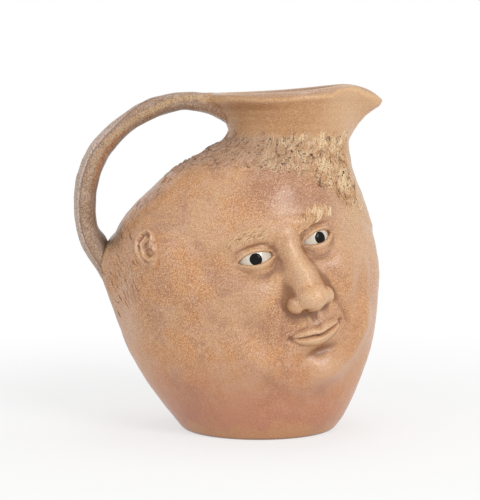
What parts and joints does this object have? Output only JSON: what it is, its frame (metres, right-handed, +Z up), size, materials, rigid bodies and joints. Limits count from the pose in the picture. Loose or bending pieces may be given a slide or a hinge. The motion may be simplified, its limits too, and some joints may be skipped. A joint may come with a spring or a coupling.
{
  "type": "face jug",
  "caption": "Salt-glazed stoneware face jug: an egg-shaped body with modelled faces under curled hair, a flared neck with a pulled pouring lip, and a looped strap handle.",
  "frame": {"origin": "centre of the flat foot, on the surface the jug stands on", "axes": "+Z up, +X towards the pouring lip, +Y towards the left face, as the pourer sees it; the handle is on the -X side"},
  "size_m": [0.1656, 0.143, 0.1855],
  "materials": {
    "stoneware": "salt-glazed, satin, mottled tan brown",
    "white_slip": "gloss",
    "black_slip": "gloss"
  },
  "bodies": {
    "root": {"body_shell": "stoneware", "neck_and_lip": "stoneware", "handle": "stoneware", "crown_curls": "stoneware", "nape_hair": "stoneware", "right_face_nose": "stoneware", "right_face_upper_lip": "stoneware", "right_face_lower_lip": "stoneware", "right_face_ear": "stoneware", "right_face_lip_side_eye_white": "white_slip", "right_face_lip_side_pupil": "black_slip", "right_face_lip_side_upper_lid": "stoneware", "right_face_lip_side_lower_lid": "stoneware", "right_face_lip_side_eyebrow": "stoneware", "right_face_handle_side_eye_white": "white_slip", "right_face_handle_side_pupil": "black_slip", "right_face_handle_side_upper_lid": "stoneware", "right_face_handle_side_lower_lid": "stoneware", "right_face_handle_side_eyebrow": "stoneware", "left_face_nose": "stoneware", "left_face_upper_lip": "stoneware", "left_face_lower_lip": "stoneware", "left_face_ear": "stoneware", "left_face_lip_side_eye_white": "white_slip", "left_face_lip_side_pupil": "black_slip", "left_face_lip_side_upper_lid": "stoneware", "left_face_lip_side_lower_lid": "stoneware", "left_face_lip_side_eyebrow": "stoneware", "left_face_handle_side_eye_white": "white_slip", "left_face_handle_side_pupil": "black_slip", "left_face_handle_side_upper_lid": "stoneware", "left_face_handle_side_lower_lid": "stoneware", "left_face_handle_side_eyebrow": "stoneware"}
  },
  "joints": []
}
